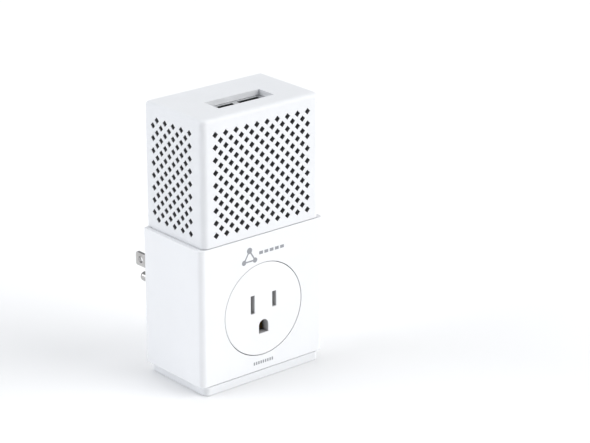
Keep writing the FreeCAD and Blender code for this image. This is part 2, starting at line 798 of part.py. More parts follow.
def receptacle_body():
    body = new_body("receptacle_body")
    add(body, "socket_block", "XZ_Plane", f"{FRONT} + face_thickness", "block_back",
        rectangle("-block_width / 2", "block_width / 2", "block_low", "block_high"))
    round_edges(body, "block_corners", "block_round", lambda edge: runs_along(edge, Y_AXIS))
    pockets = []
    for place in ("-slot_spread / 2", "slot_spread / 2"):
        pockets.append(rectangle(f"{place} - pocket_width / 2", f"{place} + pocket_width / 2",
                                 f"{SLOT_HEIGHT} - pocket_height / 2", f"{SLOT_HEIGHT} + pocket_height / 2"))
    pockets.append(rectangle("-earth_pocket / 2", "earth_pocket / 2",
                             f"{EARTH_HEIGHT} - earth_pocket / 2", f"{EARTH_HEIGHT} + earth_pocket / 2"))
    cut(body, "contact_pockets", "XZ_Plane", f"{FRONT} + face_thickness - past", "pocket_back", *pockets)
    tails = []
    for place, height in (("-slot_spread / 2", SLOT_HEIGHT), ("slot_spread / 2", SLOT_HEIGHT),
                          ("0", EARTH_HEIGHT)):
        tails.append(rectangle(f"{place} - leaf / 2 - hair", f"{place} + leaf / 2 + hair",
                               f"{height} - tail_half - hair", f"{height} + tail_half + hair"))
    cut(body, "tail_slots", "XZ_Plane", "pocket_back - past", "block_back + past", *tails)
    return keep(body)


def contact_clip(label, place, height, gap, tail_end):
    """A folded spring clip: two leaves, a web behind them and a tail through the block."""
    outer = f"({gap}) / 2 + leaf"
    low = f"{height} - clip_height / 2"
    high = f"{height} + clip_height / 2"
    web_front = "pocket_back - clip_web"
    leaves = [
        box(label + "_left_leaf", f"{place} - ({outer})", f"{place} - ({gap}) / 2", "clip_front", web_front,
            low, high),
        box(label + "_right_leaf", f"{place} + ({gap}) / 2", f"{place} + {outer}", "clip_front", web_front,
            low, high),
    ]
    web = box(label + "_web", f"{place} - ({outer})", f"{place} + {outer}", web_front, f"{web_front} + leaf",
              low, high)
    tail = box(label + "_tail", f"{place} - leaf / 2", f"{place} + leaf / 2", f"{web_front} + leaf / 2",
               tail_end, f"{height} - tail_half", f"{height} + tail_half")
    return keep(fuse(label, *leaves, web, tail))


def contact_clips():
    contact_clip("neutral_clip", "-slot_spread / 2", SLOT_HEIGHT, "blade_gap", "bar_plane")
    contact_clip("hot_clip", "slot_spread / 2", SLOT_HEIGHT, "blade_gap", "bar_plane")
    contact_clip("ground_clip", "0", EARTH_HEIGHT, "earth_gap", "earth_bar_plane")


def bus_bar(label, plane, across_span, across_height, rise_place, rise_low, rise_high):
    """A flat brass bar: one level run and one upright run in the same plane."""
    half = "bar_width / 2"
    back = f"{plane} + bar_thickness"
    level = box(label + "_level", across_span[0], across_span[1], plane, back,
                f"{across_height} - {half}", f"{across_height} + {half}")
    upright = box(label + "_upright", f"{rise_place} - {half}", f"{rise_place} + {half}", plane, back,
                  rise_low, rise_high)
    return keep(fuse(label, level, upright))


def bus_bars():
    half = "bar_width / 2"
    blade_left = "plug_offset - slot_spread / 2"
    blade_right = "plug_offset + slot_spread / 2"
    bus_bar("neutral_bus", "bar_plane", (f"{blade_left} - {half}", f"-slot_spread / 2 + {half}"),
            SLOT_HEIGHT, blade_left, f"{SLOT_HEIGHT} - {half}", "plug_height + blade_width / 2")
    bus_bar("hot_bus", "bar_plane", (f"{blade_right} - {half}", f"slot_spread / 2 + {half}"),
            "hot_bar_height", "slot_spread / 2", f"{SLOT_HEIGHT} - {half}", f"hot_bar_height + {half}")
    bus_bar("ground_bus", "earth_bar_plane", (f"plug_offset - {half}", half),
            EARTH_HEIGHT, "plug_offset", f"{EARTH_HEIGHT} - {half}", f"{PIN_HEIGHT} + {half}")


# ---------------------------------------------------------------- plug

def plug_base():
    body = new_body("plug_base")
    left, right = "plug_offset - plug_width / 2", "plug_offset + plug_width / 2"
    add(body, "plug_island", "XZ_Plane", f"{REAR_FRONT} - plug_sink", BACK,
        rectangle(left, right, "plug_low", "plug_high"))
    round_edges(body, "island_corners", "plug_round", lambda edge: runs_along(edge, Y_AXIS))
    back = value_of(BACK)
    round_edges(body, "island_rim", "plug_rim", lambda edge: near(edge.BoundBox.YMin, back))
    add(body, "plug_flange", "XZ_Plane", f"{REAR_FRONT} - flange_depth", f"{REAR_FRONT} - hair",
        rectangle(f"{left} - plug_flange", f"{right} + plug_flange",
                  "plug_low - plug_flange", "plug_high + plug_flange"))
    blades = []
    for place in ("-slot_spread / 2", "slot_spread / 2"):
        blades.append(rectangle(f"plug_offset + {place} - blade_thickness / 2",
                                f"plug_offset + {place} + blade_thickness / 2",
                                "plug_height - blade_width / 2", "plug_height + blade_width / 2"))
    cut(body, "blade_holes", "XZ_Plane", f"{REAR_FRONT} - flange_depth - past", f"{BACK} + past", *blades)
    cut(body, "pin_hole", "XZ_Plane", f"{REAR_FRONT} - flange_depth - past", f"{BACK} + past",
        circle("plug_offset", PIN_HEIGHT, "pin_root_radius"))
    return keep(body)


def blade(label, place):
    """A flat blade with a bevelled tip and the usual small hole."""
    body = new_body(label)
    low, high = "plug_height - blade_width / 2", "plug_height + blade_width / 2"
    add(body, label + "_strip", "XZ_Plane", "bar_plane + bar_thickness", f"{BACK} + blade_length",
        rectangle(f"{place} - blade_thickness / 2", f"{place} + blade_thickness / 2", low, high))
    tip = value_of(f"{BACK} + blade_length")
    bevel_edges(body, label + "_tip_corners", "blade_bevel",
                lambda edge: runs_along(edge, X_AXIS) and near(edge.BoundBox.YMax, tip))
    bevel_edges(body, label + "_tip_sides", "blade_side_bevel",
                lambda edge: runs_along(edge, Z_AXIS) and near(edge.BoundBox.YMax, tip))
    cut(body, label + "_hole", "YZ_Plane", f"{place} - blade_thickness", f"{place} + blade_thickness",
        circle(f"{BACK} + blade_length - blade_hole_inset", "plug_height", "blade_hole"))
    return keep(body)


def ground_pin():
    body = new_body("ground_pin")
    add(body, "pin_root", "XZ_Plane", "earth_bar_plane + bar_thickness", f"{BACK} + past",
        circle("plug_offset", PIN_HEIGHT, "pin_root_radius"))
    add(body, "pin_shank", "XZ_Plane", f"{BACK} + pin_neck", f"{BACK} + pin_length",
        circle("plug_offset", PIN_HEIGHT, "pin_radius"))
    tip = value_of(f"{BACK} + pin_length")
    round_edges(body, "pin_tip", "pin_radius * pin_tip_share", lambda edge: near(edge.BoundBox.YMin, tip))
    return keep(body)


def plug():
    plug_base()
    blade("prong_neutral", "plug_offset - slot_spread / 2")
    blade("prong_hot", "plug_offset + slot_spread / 2")
    ground_pin()
    for label, place in (("neutral_link", "plug_offset - slot_spread / 2"),
                         ("hot_link", "plug_offset + slot_spread / 2")):
        keep(box(label, f"{place} - link_width / 2", f"{place} + link_width / 2",
                 "power_board_front - bar_thickness", "power_board_front",
                 "plug_height + blade_width / 2", "link_top"))


# ---------------------------------------------------------------- network jacks

JACK_HALF = "jack_width / 2"
JACK_TOP = "case_height - recess_depth - shield_wall"
JACK_LOW = f"{JACK_TOP} - jack_height"


def port_outline(place):
    """One port seen from above, with the latch notch towards the front."""
    half = "port_width / 2"
    notch = "latch_width / 2"
    front = "port_front + latch_depth"
    return polygon(
        (f"{place} - {half}", front), (f"{place} - {notch}", front), (f"{place} - {notch}", "port_front"),
        (f"{place} + {notch}", "port_front"), (f"{place} + {notch}", front), (f"{place} + {half}", front),
        (f"{place} + {half}", "port_back"), (f"{place} - {half}", "port_back"),
    )


def jack_housing():
    body = new_body("jack_housing")
    add(body, "jack_block", "XY_Plane", JACK_LOW, JACK_TOP,
        rectangle(f"-{JACK_HALF}", JACK_HALF, "jack_front", "main_board_front"))
    cut(body, "jack_ports", "XY_Plane", f"{JACK_TOP} - port_depth", f"{JACK_TOP} + past",
        port_outline("-port_offset"), port_outline("port_offset"))
    return keep(body)


def jack_shield():
    """A thin folded steel can over the front, ends and top of the jack block."""
    body = new_body("jack_shield")
    outer = f"{JACK_HALF} + shield_wall"
    add(body, "shield_block", "XY_Plane", f"{JACK_LOW} + shield_skirt", f"{JACK_TOP} + shield_wall",
        rectangle(f"-({outer})", outer, "jack_front - shield_wall", "main_board_front"))
    cut(body, "shield_inside", "XY_Plane", JACK_LOW, JACK_TOP,
        rectangle(f"-{JACK_HALF}", JACK_HALF, "jack_front", "main_board_front + past"))
    cut(body, "shield_windows", "XY_Plane", f"{JACK_TOP} - overlap", f"{JACK_TOP} + past",
        port_outline("-port_offset"), port_outline("port_offset"))
    return keep(body)


def jack_contacts():
    """Eight leaning spring wires in each port."""
    wires = []
    for side in (-1, 1):
        for step in range(8):
            wire = doc.addObject("Part::Box", f"wire_{'left' if side < 0 else 'right'}_{step}")
            bind(wire, "Length", "contact_width")
            bind(wire, "Width", "contact_width")
            bind(wire, "Height", "contact_length")
            wire.Placement.Rotation = FreeCAD.Rotation(X_AXIS, value_of("contact_lean"))
            set_place(wire, f"{side} * port_offset + ({step} - 3.5) * contact_pitch - contact_width / 2",
                      "port_back - contact_width - hair", f"{JACK_TOP} - port_depth + contact_rise")
            wires.append(wire)
    return keep(group("jack_contacts", *wires))


# ---------------------------------------------------------------- main board

def main_board():
    body = new_body("main_board")
    half = "main_board_width / 2"
    back = "main_board_front + board"
    add(body, "main_sheet", "XZ_Plane", "main_board_front", back,
        polygon((f"-{half}", "main_board_low"), ("tab_left", "main_board_low"), ("tab_left", "tab_low"),
                ("tab_right - tab_side_gap", "tab_low"), ("tab_right - tab_side_gap", "main_board_low - past"),
                (half, "main_board_low"), (half, "main_board_high"), (f"-{half}", "main_board_high")))
    cut(body, "main_board_holes", "XZ_Plane", "main_board_front - past", f"{back} + past",
        *[circle(place, "main_post_height", "screw_radius + hair") for place in ("-main_post_x", "main_post_x")])
    return keep(body)


def sides(label):
    """Left, right, low and high of one of the boxes on the boards."""
    return [f"{label}_{side}" for side in ("left", "right", "low", "high")]


def board_box(label, near_board):
    """A box that stands off a board, towards the front."""
    left, right, low, high = sides(label)
    return box(label, left, right, f"{near_board} - {label}_proud", near_board, low, high)


def heat_sink():
    body = new_body("heat_sink")
    seat = "main_board_front - chip_gap"
    left, right, low, high = sides("heat_sink")
    add(body, "sink_base", "XZ_Plane", f"{seat} - sink_plate", seat, rectangle(left, right, low, high))
    blade_fin = add(body, "sink_fin", "XZ_Plane", f"{seat} - sink_reach", f"{seat} - sink_plate + hair",
                    rectangle(left, f"{left} + fin", low, high))
    repeat(body, blade_fin, "fin_pitch", "fin_count")
    return keep(body)


def status_leds():
    lamps = [box(f"led_{name}", f"{step} * led_pitch - led_half", f"{step} * led_pitch + led_half",
                 "main_board_front - led_height", "main_board_front", "led_low", "led_high")
             for name, step in (("left", -1), ("middle", 0), ("right", 1))]
    return keep(group("status_leds", *lamps))


def coupling_transformer():
    back = "main_board_front + board"
    left, right, low, high = sides("coupling_can")
    can = box("coupling_can", left, right, back, f"{back} + coupling_can_proud", low, high)
    left, right, low, high = sides("coupling_groove")
    groove = box("coupling_groove", left, right, f"{back} + groove_start", f"{back} + groove_end", low, high)
    return keep(carve("coupling_transformer", can, groove))


def main_board_parts():
    for label in ("powerline_chip", "ethernet_chip", "memory_chip", "crystal", "ethernet_magnetics"):
        keep(board_box(label, "main_board_front"))
    heat_sink()
    status_leds()
    left, right, low, high = sides("light_guide")
    keep(box("light_guide", left, right, "guide_front", "main_board_front - guide_gap", low, high))
    coupling_transformer()


# ---------------------------------------------------------------- power supply

def power_board():
    body = new_body("power_board")
    half = "power_board_width / 2"
    back = "power_board_front + board"
    add(body, "power_sheet", "XZ_Plane", "power_board_front", back,
        rectangle(f"-{half}", half, "power_board_low", "power_board_high"))
    cut(body, "power_board_holes", "XZ_Plane", "power_board_front - past", f"{back} + past",
        *[circle(place, height, "screw_radius + hair")
          for place in ("-power_post_x", "power_post_x")
          for height in ("power_post_low", "power_post_high")])
    return keep(body)


def flyback_transformer():
    """A ferrite frame with a wound bobbin in its window."""
    front = "power_board_front - core_block_proud"
    left, right, low, high = sides("core_block")
    frame = box("core_block", left, right, front, "power_board_front - core_gap", low, high)
    left, right, low, high = sides("core_window")
    window = box("core_window", left, right, f"{front} - past", "power_board_front", low, high)
    keep(carve("flyback_core", frame, window))
    keep(board_box("flyback_winding", "power_board_front"))


def line_choke():
    ring = doc.addObject("Part::Torus", "line_choke")
    ring.Label = "line_choke"
    bind(ring, "Radius1", "choke_radius")
    bind(ring, "Radius2", "choke_wire")
    ring.Placement.Rotation = TURN_TO["Y"]
    set_place(ring, "choke_place", "power_board_front - choke_gap", "choke_height")
    return keep(ring)


def power_supply():
    power_board()
    flyback_transformer()
    line_choke()
    for label, axis in (("bulk_capacitor", "X"), ("output_capacitor", "Z"), ("fuse", "Z"), ("varistor", "Z")):
        keep(rod(label, axis, f"{label}_radius", f"{label}_length", f"{label}_place",
                 f"power_board_front - {label}_gap", f"{label}_height"))
    keep(board_box("x_capacitor", "power_board_front"))
    keep(board_box("rectifier", "power_board_front"))


# ---------------------------------------------------------------- pairing key

def pair_button():
    body = new_body("pair_button")
    reach = "case_width / 2 + key_proud"
    add(body, "key_cap", "YZ_Plane", "flange_in", reach,
        capsule("key_y", "key_height", "key_length", "key_width"))
    outer = value_of(reach)
    round_edges(body, "key_edge", "key_rim", lambda edge: near(edge.BoundBox.XMin, outer))
    add(body, "key_flange", "YZ_Plane", "flange_in", "flange_out",
        capsule("key_y", "key_height", "key_length + 2 * flange_rim", "key_width + 2 * flange_rim"))
    add(body, "key_stem", "YZ_Plane", "stem_end", "flange_in + overlap",
        circle("key_y", "key_height", "stem_radius"))
    return keep(body)


def tact_switch():
    can = box("switch_can", "switch_face - switch_length", "switch_face",
              "main_board_front - switch_width", "main_board_front",
              "key_height - switch_height / 2", "key_height + switch_height / 2")
    bore = rod("switch_bore", "X", "plunger_radius + plunger_play", "bore_length", "plunger_bore", "key_y",
               "key_height")
    keep(carve("tact_switch", can, bore))
    keep(rod("switch_plunger", "X", "plunger_radius", "stem_end - plunger_end", "plunger_end", "key_y",
             "key_height"))


# ---------------------------------------------------------------- fasteners

def screw(label, across, seat, up, length, way):
    """A cross-headed screw along Y; way is +1 when it is driven towards the front."""
    shank_start = f"{seat} - ({length})" if way > 0 else seat
    shank = rod(label + "_shank", "Y", "screw_radius", length, across, shank_start, up)
    head_start = seat if way > 0 else f"{seat} - head_height"
    head = rod(label + "_head", "Y", "head_radius", "head_height", across, head_start, up)
    driven_back = f"{seat} + head_height - cross_sink"
    driven_front = f"{seat} - head_height + cross_sink - past"
    cross_start = driven_back if way > 0 else driven_front
    slots = [
        box(label + "_cross_level", f"{across} - cross_half", f"{across} + cross_half",
            cross_start, f"{cross_start} + past", f"{up} - cross_half_width", f"{up} + cross_half_width"),
        box(label + "_cross_upright", f"{across} - cross_half_width", f"{across} + cross_half_width",
            cross_start, f"{cross_start} + past", f"{up} - cross_half", f"{up} + cross_half"),
    ]
    return carve(label, fuse(label + "_blank", shank, head), *slots)


def housing_screws():
    places = [(place, "low_screw_height") for place in LOW_SCREWS]
    places += [(place, "top_screw_height") for place in TOP_SCREWS]
    seat = f"{BACK} - head_height - boss_play"
    screws = [screw(f"housing_screw_{index}", place, seat, height, "housing_screw_length - 1", 1)
              for index, (place, height) in enumerate(places)]
    return keep(group("housing_screws", *screws))


def board_screws():
    places = [(place, "power_board_front", height)
              for place in ("-power_post_x", "power_post_x")
              for height in ("power_post_low", "power_post_high")]
    places += [(place, "main_board_front", "main_post_height") for place in ("-main_post_x", "main_post_x")]
    screws = [screw(f"board_screw_{index}", place, seat, height, "board_screw_length + 1", -1)
              for index, (place, seat, height) in enumerate(places)]
    return keep(group("board_screws", *screws))


# ---------------------------------------------------------------- build and write

def check_document():
    for item in doc.Objects:
        if "Invalid" in item.State or "Error" in item.State:
            raise RuntimeError(f"{item.Label} did not recompute: {item.State}")
        if item.TypeId == "PartDesign::Pocket" and item.BaseFeature is not None:
            if item.Shape.Volume > item.BaseFeature.Shape.Volume - 0.01:
                raise RuntimeError(f"{item.Label} cuts nothing")
    for label, item in NODES.items():
        if item.Shape.isNull() or not item.Shape.isValid():
            raise RuntimeError(f"{label} has a bad shape")


def write_nodes():
    os.makedirs("parts", exist_ok=True)
    for label, item in NODES.items():
        item.Shape.exportStep(os.path.join("parts", label + ".step"))
        print(f"{label:22s} {len(item.Shape.Solids):3d} solids {item.Shape.Volume:10.1f} mm3")


front_sleeve()
base_plinth()
vent_cover()
rear_cover()
rating_label()
insulating_liner()
receptacle_face()
receptacle_body()
contact_clips()
bus_bars()
plug()
jack_housing()
jack_shield()
jack_contacts()
main_board()
main_board_parts()
power_supply()
pair_button()
tact_switch()
housing_screws()
board_screws()
doc.recompute()
check_document()
write_nodes()
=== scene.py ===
"""Looks of the pass-through powerline adapter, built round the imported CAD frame.

Metres, in the CAD frame: +X right seen from the front, -Y towards the viewer, +Z up.
"""

import json
import math

import bmesh
import bpy
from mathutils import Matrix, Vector


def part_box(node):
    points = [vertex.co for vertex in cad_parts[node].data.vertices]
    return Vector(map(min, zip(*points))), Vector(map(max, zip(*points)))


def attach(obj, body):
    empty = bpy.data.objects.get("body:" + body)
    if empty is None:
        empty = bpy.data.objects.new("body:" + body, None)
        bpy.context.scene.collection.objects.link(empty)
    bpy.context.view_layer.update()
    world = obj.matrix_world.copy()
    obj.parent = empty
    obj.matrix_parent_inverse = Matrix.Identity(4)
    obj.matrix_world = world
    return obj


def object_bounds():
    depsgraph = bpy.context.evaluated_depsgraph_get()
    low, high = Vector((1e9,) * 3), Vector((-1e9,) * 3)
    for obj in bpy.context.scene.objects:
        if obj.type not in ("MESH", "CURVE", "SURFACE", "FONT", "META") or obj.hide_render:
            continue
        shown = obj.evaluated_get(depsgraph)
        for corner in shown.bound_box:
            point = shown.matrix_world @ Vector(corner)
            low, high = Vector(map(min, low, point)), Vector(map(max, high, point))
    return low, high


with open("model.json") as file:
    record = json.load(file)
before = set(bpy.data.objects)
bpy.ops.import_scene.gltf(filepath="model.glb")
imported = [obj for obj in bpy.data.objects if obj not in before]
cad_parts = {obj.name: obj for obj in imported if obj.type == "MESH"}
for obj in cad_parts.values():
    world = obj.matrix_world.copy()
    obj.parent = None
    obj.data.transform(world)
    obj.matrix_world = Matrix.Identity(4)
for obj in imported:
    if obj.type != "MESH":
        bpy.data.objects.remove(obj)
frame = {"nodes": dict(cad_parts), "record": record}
CAD_LOW, CAD_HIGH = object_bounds()
NODES = frame["nodes"]
SLEEVE_LOW, SLEEVE_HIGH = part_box("front_sleeve")
COVER_LOW, COVER_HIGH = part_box("vent_cover")
FACE_LOW, FACE_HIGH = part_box("receptacle_face")

MM = 0.001

# Camera, as a photographer would set it: turned round the object, looking down a little.
CAMERA_PLACE = Vector((-0.6263, -0.7830, 0.4448))
CAMERA_TURN = math.radians(40.25)
CAMERA_DROP = math.radians(20.45)
CAMERA_LENS = 142.8

CAMERA_SENSOR = 36.0
CAMERA_NEAR = 0.05
CAMERA_FAR = 60.0

# Stage: a pale floor, a pale sky and three wide, soft lights.
PAPER = (0.955, 0.957, 0.962)
FLOOR_SIZE = 30.0
FLOOR_GAP = 0.1 * MM
SKY = (0.96, 0.975, 1.0)
SKY_STRENGTH = 0.36
SUN_SPREAD = math.radians(50)
SUNS = (
    ("front_right", (0.74, -0.95, 0.55), 2.12, (1.0, 0.998, 0.99)),
    ("back_left", (-1.02, 0.60, 0.55), 1.34, (0.95, 0.97, 1.0)),
    ("overhead", (0.10, 0.35, 1.30), 1.02, (0.99, 0.995, 1.0)),
)

# How deep below a shell's skin the walls of its holes turn darker: painted shade, not a colour of the
# plastic.
HOLE_SHADE_DEPTH = 0.3 * MM
CORNER = 2.9 * MM
SLOT_SHADE_START = 0.3 * MM
SLOT_SHADE_END = 0.8 * MM

# Printed marks on the sleeve's front.
INK = (0.27, 0.28, 0.30)
INK_HEIGHT = 0.02 * MM
LINK_HEIGHT = 0.015 * MM
MARK_X = -8.0 * MM
MARK_RISE = 5.0 * MM
MARK_HALF = 3.2 * MM
MARK_BELOW = 2.4 * MM
MARK_ABOVE = 2.8 * MM
NODE_RADIUS = 1.25 * MM
TOP_NODE_RADIUS = 1.5 * MM
LINK_WIDTH = 0.7 * MM
DASH_SPAN = (-2.4 * MM, 13.0 * MM)
DASH_RISE = 0.4 * MM
DASH_COUNT = 5
DASH_SHARE = 0.72
TICK_SPAN = (-6.0 * MM, 6.0 * MM)
TICK_RISE = 4.0 * MM
TICK_COUNT = 9
TICK_SHARE = 0.6
BAR_HEIGHT = 1.5 * MM


# ---------------------------------------------------------------- node helpers

class Shader:
    """A material's node tree with a Principled shader, and short calls to add to it."""

    def __init__(self, name, colour, roughness, **sockets):
        self.material = bpy.data.materials.new(name)
        self.material.use_nodes = True
        self.tree = self.material.node_tree
        self.tree.nodes.clear()
        self.output = self.tree.nodes.new("ShaderNodeOutputMaterial")
        self.principled = self.tree.nodes.new("ShaderNodeBsdfPrincipled")
        self.link(self.principled.outputs["BSDF"], self.output.inputs["Surface"])
        self.set("Base Color", (*colour, 1.0))
        self.set("Roughness", roughness)
        for socket, value in sockets.items():
            self.set(socket.replace("_", " "), value)
        self.coords = self.tree.nodes.new("ShaderNodeTexCoord").outputs["Object"]

    def set(self, socket, value):
        self.principled.inputs[socket].default_value = value

    def link(self, start, end):
        self.tree.links.new(start, end)

    def noise(self, scale, detail=4.0, roughness=0.55, stretch=(1, 1, 1)):
        """Fractal noise in object space; scale is in cycles per metre."""
        mapping = self.tree.nodes.new("ShaderNodeMapping")
        mapping.inputs["Scale"].default_value = stretch
        self.link(self.coords, mapping.inputs["Vector"])
        node = self.tree.nodes.new("ShaderNodeTexNoise")
        node.inputs["Scale"].default_value = scale
        node.inputs["Detail"].default_value = detail
        node.inputs["Roughness"].default_value = roughness
        self.link(mapping.outputs["Vector"], node.inputs["Vector"])
        return node.outputs["Fac"]

    def cells(self, scale, stretch=(1, 1, 1), feature="F1"):
        """Cell pattern in object space; gives the distance to a cell's point or edge."""
        mapping = self.tree.nodes.new("ShaderNodeMapping")
        mapping.inputs["Scale"].default_value = stretch
        self.link(self.coords, mapping.inputs["Vector"])
        node = self.tree.nodes.new("ShaderNodeTexVoronoi")
        node.feature = feature
        node.inputs["Scale"].default_value = scale
        self.link(mapping.outputs["Vector"], node.inputs["Vector"])
        return node.outputs["Distance"]

    def spread(self, value, low, high, start=0.3, end=0.7):
        """Map a 0..1 value onto a range."""
        node = self.tree.nodes.new("ShaderNodeMapRange")
        node.inputs["From Min"].default_value = start
        node.inputs["From Max"].default_value = end
        node.inputs["To Min"].default_value = low
        node.inputs["To Max"].default_value = high
        self.link(value, node.inputs["Value"])
        return node.outputs["Result"]

    def blend(self, factor, first, second):
        """Mix two colours, each given as a tuple or as a node's output."""
        node = self.tree.nodes.new("ShaderNodeMix")
        node.data_type = "RGBA"
        for socket, colour in ((node.inputs[6], first), (node.inputs[7], second)):
            if isinstance(colour, tuple):
                socket.default_value = (*colour, 1.0)
            else:
                self.link(colour, socket)
        self.link(factor, node.inputs["Factor"])
        return node.outputs[2]

    def place(self):
        """Object-space x (unsigned), y and z."""
        split = self.tree.nodes.new("ShaderNodeSeparateXYZ")
        self.link(self.coords, split.inputs["Vector"])
        unsigned = self.tree.nodes.new("ShaderNodeMath")
        unsigned.operation = "ABSOLUTE"
        self.link(split.outputs["X"], unsigned.inputs[0])
        return unsigned.outputs["Value"], split.outputs["Y"], split.outputs["Z"]

    def both(self, first, second, operation="MULTIPLY"):
        node = self.tree.nodes.new("ShaderNodeMath")
        node.operation = operation
        self.link(first, node.inputs[0])
        self.link(second, node.inputs[1])
        return node.outputs["Value"]

    def tint(self, colour):
        self.link(colour, self.principled.inputs["Base Color"])

    def matt(self, roughness):
        self.link(roughness, self.principled.inputs["Roughness"])

    def relief(self, height, distance, strength=1.0):
        node = self.tree.nodes.new("ShaderNodeBump")
        node.inputs["Strength"].default_value = strength
        node.inputs["Distance"].default_value = distance
        self.link(height, node.inputs["Height"])
        previous = self.principled.inputs["Normal"]
        if previous.is_linked:
            self.link(previous.links[0].from_socket, node.inputs["Normal"])
        self.link(node.outputs["Normal"], previous)


# ---------------------------------------------------------------- materials

def glossy_white(name, colour=(0.835, 0.845, 0.865), painted_shade=None):
    """Polished ABS: faint flow waves, very fine orange peel; given a shade colour, the walls of the
    outlet's slots fall off to it as painted shade.
    """
    shader = Shader(name, colour, 0.16, Coat_Weight=0.35, Coat_Roughness=0.06, IOR=1.5)
    paler = tuple(min(1.0, channel * 1.018) for channel in colour)
    skin = shader.blend(shader.spread(shader.noise(55, 3), 0, 1), colour, paler)
    if painted_shade:
        # Painted shade: behind the outlet's face the slot walls fade to the shade colour with depth.
        front = shader.place()[1]
        below = shader.spread(front, 0, 1, FACE_LOW.y + SLOT_SHADE_START, FACE_LOW.y + SLOT_SHADE_END)
        skin = shader.blend(below, skin, painted_shade)
    shader.tint(skin)
    shader.matt(shader.spread(shader.noise(420, 3), 0.12, 0.21))
    shader.relief(shader.noise(900, 2), 0.00002, 0.25)
    shader.relief(shader.noise(38, 1), 0.00015, 0.12)
    return shader.material


def satin_white(name, colour=(0.800, 0.812, 0.832), grain=2600, painted_shade=None):
    """Spark-eroded ABS: a fine even grain with slightly varied sheen; given a shade colour, its hole
    walls and inside are painted with shade.
    """
    shader = Shader(name, colour, 0.42, IOR=1.48, Specular_IOR_Level=0.45)
    darker = tuple(channel * 0.975 for channel in colour)
    skin = shader.blend(shader.spread(shader.noise(70, 4), 0, 1), darker, colour)
    if painted_shade:
        # Painted shade: the cover's hole walls and inside turn to the dark shade colour.
        skin = shader.blend(hole_shade_mask(shader), skin, painted_shade)
    shader.tint(skin)
    shader.matt(shader.spread(shader.noise(600, 3), 0.36, 0.5))
    shader.relief(shader.noise(grain, 2, 0.6), 0.00005, 0.35)
    shader.relief(shader.cells(grain * 0.7), 0.00003, 0.25)
    return shader.material


def hole_shade_mask(shader):
    """Mask of painted shade: 1 on the walls of the cover's holes and on its inside, 0 on its skin."""
    side, front, up = shader.place()
    past_front = shader.spread(front, 0, 1, COVER_LOW.y + HOLE_SHADE_DEPTH / 4, COVER_LOW.y + HOLE_SHADE_DEPTH)
    off_corner = shader.spread(side, 1, 0, COVER_HIGH.x - CORNER - HOLE_SHADE_DEPTH, COVER_HIGH.x - CORNER)
    past_side = shader.spread(side, 1, 0, COVER_HIGH.x - HOLE_SHADE_DEPTH, COVER_HIGH.x - HOLE_SHADE_DEPTH / 4)
    behind_corner = shader.spread(front, 0, 1, COVER_LOW.y + CORNER, COVER_LOW.y + CORNER + HOLE_SHADE_DEPTH)
    under_top = shader.spread(up, 1, 0, COVER_HIGH.z - CORNER - HOLE_SHADE_DEPTH, COVER_HIGH.z - CORNER)
    before_back = shader.spread(front, 1, 0, COVER_HIGH.y - CORNER, COVER_HIGH.y - CORNER + HOLE_SHADE_DEPTH)
    over_sleeve = shader.spread(up, 0, 1, SLEEVE_HIGH.z + CORNER, SLEEVE_HIGH.z + CORNER + HOLE_SHADE_DEPTH)
    in_front = shader.both(past_front, off_corner)
    in_side = shader.both(past_side, behind_corner)
    deep = shader.both(in_front, in_side, "MAXIMUM")
    level = shader.both(under_top, over_sleeve)
    return shader.both(shader.both(deep, level), before_back)


def bright_metal(name, colour, roughness, brushing=(1, 1, 1)):
    """Plated or brushed metal with drawn lines and small stains."""
    shader = Shader(name, colour, roughness, Metallic=1.0)
    stain = shader.noise(260, 4)
    duller = tuple(channel * 0.82 for channel in colour)
    shader.tint(shader.blend(shader.spread(stain, 0, 1, 0.4, 0.75), colour, duller))
    lines = shader.noise(1800, 3, 0.6, brushing)
    shader.matt(shader.spread(lines, roughness * 0.7, roughness * 1.4))
    shader.relief(lines, 0.00002, 0.3)
    return shader.material


def dark_sheet(name, colour=(0.070, 0.072, 0.076)):
    """Fibre insulating sheet: dull, faintly fibrous."""
    shader = Shader(name, colour, 0.72, Specular_IOR_Level=0.25)
    fibre = shader.noise(1500, 5, 0.7, (1, 1, 0.2))
    lighter = tuple(channel * 1.5 for channel in colour)
    shader.tint(shader.blend(shader.spread(fibre, 0, 1), colour, lighter))
    shader.relief(fibre, 0.00004, 0.4)
    return shader.material


def moulded_dark(name, colour, roughness=0.45):
    """Filled engineering plastic, as jacks and chips are made of."""
    shader = Shader(name, colour, roughness, Specular_IOR_Level=0.4)
    speck = shader.noise(900, 5, 0.7)
    lighter = tuple(min(1.0, channel * 1.5 + 0.01) for channel in colour)
    shader.tint(shader.blend(shader.spread(speck, 0, 1, 0.45, 0.8), colour, lighter))
    shader.matt(shader.spread(shader.noise(500, 2), roughness * 0.8, roughness * 1.2))
    shader.relief(shader.noise(3000, 2), 0.00003, 0.35)
    return shader.material


def circuit_board(name):
    """Green solder mask over copper tracks."""
    shader = Shader(name, (0.02, 0.14, 0.06), 0.32, Coat_Weight=0.3, Coat_Roughness=0.15)
    tracks = shader.cells(320, (1, 1, 1), "DISTANCE_TO_EDGE")
    mask = shader.spread(tracks, 0, 1, 0.05, 0.12)
    shader.tint(shader.blend(mask, (0.05, 0.27, 0.10), (0.015, 0.13, 0.05)))
    shader.relief(shader.spread(tracks, 0, 1, 0.05, 0.1), 0.00004, 0.5)
    return shader.material


def clear_plastic(name):
    shader = Shader(name, (0.86, 0.88, 0.88), 0.12, Transmission_Weight=0.6, IOR=1.49)
    shader.matt(shader.spread(shader.noise(700, 2), 0.08, 0.2))
    return shader.material


